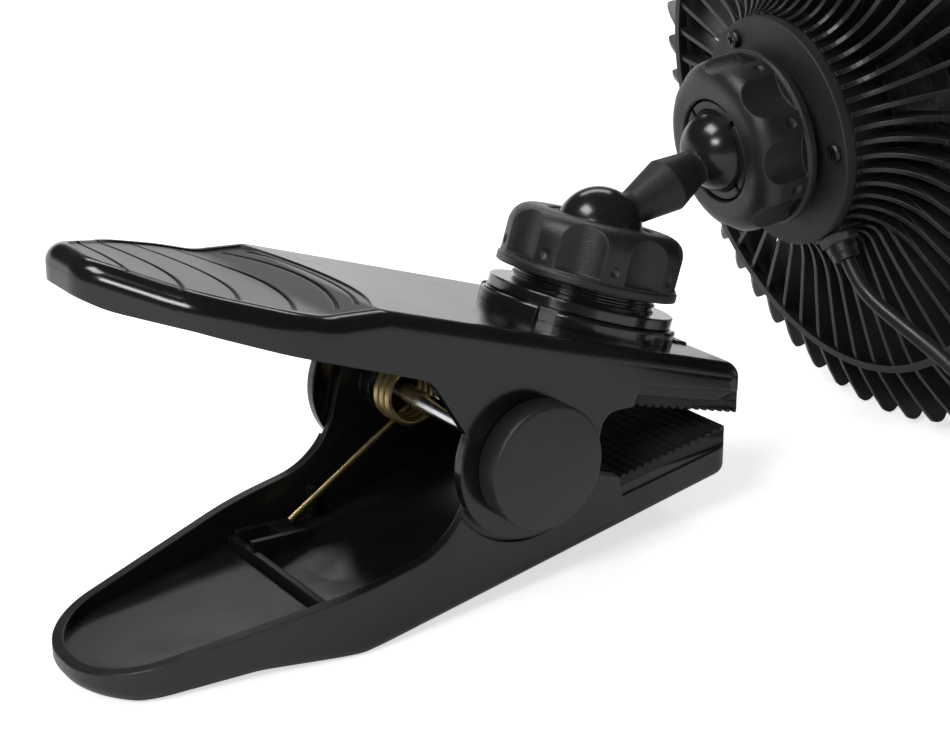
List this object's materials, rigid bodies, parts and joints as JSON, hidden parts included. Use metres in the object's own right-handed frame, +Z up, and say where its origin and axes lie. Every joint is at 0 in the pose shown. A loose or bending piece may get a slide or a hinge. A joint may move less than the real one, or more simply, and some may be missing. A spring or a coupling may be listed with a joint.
{
  "type": "clip fan",
  "caption": "Clip-on fan: sprung clamp with padded jaws, a double-ball arm locked by grip nuts, a caged axial fan head with motor and switch, and a cord with a 12 V accessory plug",
  "frame": {"origin": "on the surface it stands on, under the middle of the fan and clamp's box, cord left out", "axes": "+Z up, +X from the handles to the jaws and the fan, -Y the side where the cord leaves"},
  "size_m": [0.3619, 0.2825, 0.1783],
  "materials": {
    "gloss_shell": "moulded black, high gloss",
    "satin_shell": "moulded black, satin",
    "knob": "moulded black, fine texture",
    "plate": "moulded black, matte texture",
    "ball_arm": "moulded black, satin",
    "grille": "moulded black, satin",
    "blade": "moulded black, semi gloss",
    "grip_rubber": "ridged black rubber",
    "spring_wire": "zinc plated, yellow passivated",
    "axle_steel": "bright plated",
    "screw_steel": "black oxide",
    "motor_steel": "zinc plated sheet",
    "magnet": "sintered ferrite",
    "copper": "enamelled copper",
    "bronze": "sintered bronze",
    "carbon": "carbon block",
    "cord_jacket": "soft black jacket, satin",
    "plug_plastic": "moulded black, satin",
    "plug_metal": "nickel plated"
  },
  "bodies": {
    "clamp_base": {"lower_jaw": "satin_shell", "lower_pad_carrier": "satin_shell", "lower_grip_pad": "grip_rubber", "pivot_axle": "axle_steel", "pivot_cap_near": "satin_shell", "pivot_cap_far": "satin_shell", "clamp_spring": "spring_wire"},
    "upper_clamp": {"upper_jaw": "gloss_shell", "upper_pad_carrier": "satin_shell", "upper_grip_pad": "grip_rubber", "mount_foot": "gloss_shell", "arm_socket": "knob"},
    "arm_nut": {"clamp_lock_nut": "knob"},
    "arm_swivel": {"clamp_collet": "knob"},
    "arm_link": {"ball_link": "ball_arm"},
    "head_tilt": {"head_collet": "knob"},
    "fan_head": {"head_plate": "plate", "plate_screws": "screw_steel", "motor_housing": "grille", "housing_cover": "grille", "rear_grille": "grille", "front_grille": "grille", "motor_can": "motor_steel", "motor_end_bell": "plug_plastic", "shaft_bushings": "bronze", "field_magnets": "magnet", "brushes": "carbon", "strain_relief": "knob", "cord_run": "cord_jacket", "cord_coil": "cord_jacket", "cord_tail": "cord_jacket", "plug_boot": "cord_jacket", "plug_body": "plug_plastic", "plug_side_contacts": "plug_metal", "plug_ring": "plug_metal", "plug_tip": "plug_metal"},
    "head_nut": {"head_lock_nut": "knob"},
    "rotor": {"armature_core": "motor_steel", "armature_windings": "copper", "commutator": "copper", "motor_shaft": "axle_steel", "fan_blades": "blade", "blade_nut": "blade"},
    "rocker": {"switch_rocker": "knob"}
  },
  "joints": [
    {"name": "jaw_open", "type": "hinge", "parent": "clamp_base", "child": "upper_clamp", "pos_m": [-0.02795, 0.00476, 0.03593], "axis": [0, -1, 0], "range_deg": [0, 35], "stiffness_Nm_per_rad": 1.2, "springref_deg": -34.38, "deforming": ["clamp_spring"]},
    {"name": "arm_nut_turn", "type": "hinge", "parent": "upper_clamp", "child": "arm_nut", "pos_m": [0.02028, 0.00476, 0.07237], "axis": [0.3754, 0, 0.9269], "range_deg": [0, 120]},
    {"name": "arm_turn", "type": "hinge", "parent": "upper_clamp", "child": "arm_swivel", "pos_m": [0.02028, 0.00476, 0.07237], "axis": [0.3754, 0, 0.9269], "range_deg": [-60, 60]},
    {"name": "arm_lift", "type": "hinge", "parent": "arm_swivel", "child": "arm_link", "pos_m": [0.02028, 0.00476, 0.07237], "axis": [0, -1, 0], "range_deg": [-1, 95]},
    {"name": "head_lift", "type": "hinge", "parent": "arm_link", "child": "head_tilt", "pos_m": [0.0609, 0.00476, 0.08499], "axis": [0.0924, 0.9957, 0], "range_deg": [-60, 30]},
    {"name": "head_turn", "type": "hinge", "parent": "head_tilt", "child": "fan_head", "pos_m": [0.0609, 0.00476, 0.08499], "axis": [0.9925, -0.0921, 0.0802], "range_deg": [-90, 90]},
    {"name": "head_nut_turn", "type": "hinge", "parent": "fan_head", "child": "head_nut", "pos_m": [0.0609, 0.00476, 0.08499], "axis": [0.9925, -0.0921, 0.0802], "range_deg": [-120, 0]},
    {"name": "rotor_spin", "type": "hinge", "parent": "fan_head", "child": "rotor", "pos_m": [0.0609, 0.00476, 0.08499], "axis": [0.9925, -0.0921, 0.0802], "continuous": true},
    {"name": "switch_rock", "type": "hinge", "parent": "fan_head", "child": "rocker", "pos_m": [0.12859, -0.00152, 0.09046], "axis": [0.0924, 0.9957, 0], "range_deg": [-8, 8]}
  ]
}
